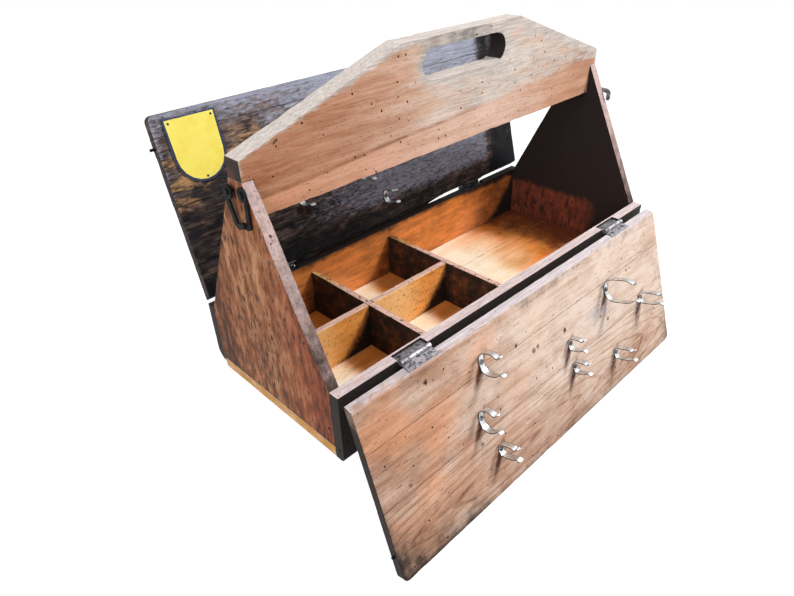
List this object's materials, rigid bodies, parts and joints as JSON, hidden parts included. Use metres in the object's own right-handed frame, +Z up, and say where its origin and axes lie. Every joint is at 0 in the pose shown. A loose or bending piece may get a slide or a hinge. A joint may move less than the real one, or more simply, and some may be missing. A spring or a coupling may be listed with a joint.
{
  "type": "wooden tool carrier",
  "caption": "Open wooden tool box with a board handle and hand slot, divided bays, and two hinged slanted lids fitted with spring clips and hook latches.",
  "frame": {"origin": "middle of the flat underside of the base", "axes": "+X along the carrier to the right end, -Y to the front, +Z up"},
  "size_m": [0.5534, 0.3636, 0.4406],
  "materials": {
    "end_wood": "worn, oiled, dark flecks along the grain",
    "rail_wood": "worn, grey on its top edges",
    "base_wood": "yellow softwood, worn bright in places",
    "handle_wood": "hand-worn, pale, with small worm holes",
    "divider_wood": "orange-brown, pale on its top edges",
    "front_lid_wood": "tan, open grain, rust stains below the clips",
    "rear_lid_wood": "nearly black with grime, worn in streaks",
    "bright_steel": "bright plated spring strip",
    "hinge_steel": "dull rubbed steel",
    "black_iron": "black wrought iron",
    "enamel": "glossy enamel, plain"
  },
  "bodies": {
    "box": {"left_end_board": "end_wood", "right_end_board": "end_wood", "front_rail": "rail_wood", "rear_rail": "rail_wood", "base_plank_front": "base_wood", "base_plank_rear": "base_wood", "handle_board": "handle_wood", "cross_divider_left": "divider_wood", "cross_divider_right": "divider_wood", "long_divider_left": "divider_wood", "long_divider_middle": "divider_wood", "front_hinge_left_rail_leaf": "hinge_steel", "front_hinge_left_pin": "hinge_steel", "front_hinge_right_rail_leaf": "hinge_steel", "front_hinge_right_pin": "hinge_steel", "rear_hinge_left_rail_leaf": "hinge_steel", "rear_hinge_left_pin": "hinge_steel", "rear_hinge_right_rail_leaf": "hinge_steel", "rear_hinge_right_pin": "hinge_steel", "left_front_hook_pivot": "black_iron", "left_rear_hook_pivot": "black_iron", "right_front_hook_pivot": "black_iron", "right_rear_hook_pivot": "black_iron"},
    "front_lid": {"front_lid_plank_lower": "front_lid_wood", "front_lid_plank_middle": "front_lid_wood", "front_lid_plank_upper": "front_lid_wood", "front_hinge_left_lid_leaf": "hinge_steel", "front_hinge_right_lid_leaf": "hinge_steel", "front_latch_pin_left": "black_iron", "front_latch_pin_right": "black_iron", "front_spring_clip_1": "bright_steel", "front_spring_clip_2": "bright_steel", "front_spring_clip_3": "bright_steel", "front_spring_clip_4": "bright_steel", "front_spring_clip_5": "bright_steel", "front_spring_clip_6": "bright_steel", "front_spring_clip_7": "bright_steel", "front_spring_clip_8": "bright_steel"},
    "rear_lid": {"rear_lid_plank_lower": "rear_lid_wood", "rear_lid_plank_middle": "rear_lid_wood", "rear_lid_plank_upper": "rear_lid_wood", "rear_hinge_left_lid_leaf": "hinge_steel", "rear_hinge_right_lid_leaf": "hinge_steel", "rear_latch_pin_left": "black_iron", "rear_latch_pin_right": "black_iron", "rear_spring_clip_1": "bright_steel", "rear_spring_clip_2": "bright_steel", "rear_spring_clip_3": "bright_steel", "name_plate": "enamel"},
    "hook_left_front": {"left_front_hook": "black_iron"},
    "hook_left_rear": {"left_rear_hook": "black_iron"},
    "hook_right_front": {"right_front_hook": "black_iron"},
    "hook_right_rear": {"right_rear_hook": "black_iron"}
  },
  "joints": [
    {"name": "front_lid_hinge", "type": "hinge", "parent": "box", "child": "front_lid", "pos_m": [0, -0.1131, 0.0782], "axis": [-1, 0, 0], "range_deg": [-17.7, 188.9]},
    {"name": "rear_lid_hinge", "type": "hinge", "parent": "box", "child": "rear_lid", "pos_m": [0, 0.1131, 0.0782], "axis": [1, 0, 0], "range_deg": [-165.3, 41.3]},
    {"name": "left_front_hook_pivot", "type": "hinge", "parent": "box", "child": "hook_left_front", "pos_m": [-0.2714, -0.0105, 0.2415], "axis": [-1, 0, 0], "range_deg": [0, 74]},
    {"name": "left_rear_hook_pivot", "type": "hinge", "parent": "box", "child": "hook_left_rear", "pos_m": [-0.2739, 0.008, 0.2405], "axis": [1, 0, 0], "range_deg": [0, 99]},
    {"name": "right_front_hook_pivot", "type": "hinge", "parent": "box", "child": "hook_right_front", "pos_m": [0.2714, -0.0085, 0.216], "axis": [-1, 0, 0], "range_deg": [-88, 47]},
    {"name": "right_rear_hook_pivot", "type": "hinge", "parent": "box", "child": "hook_right_rear", "pos_m": [0.2739, 0.0085, 0.216], "axis": [1, 0, 0], "range_deg": [0, 135]}
  ]
}
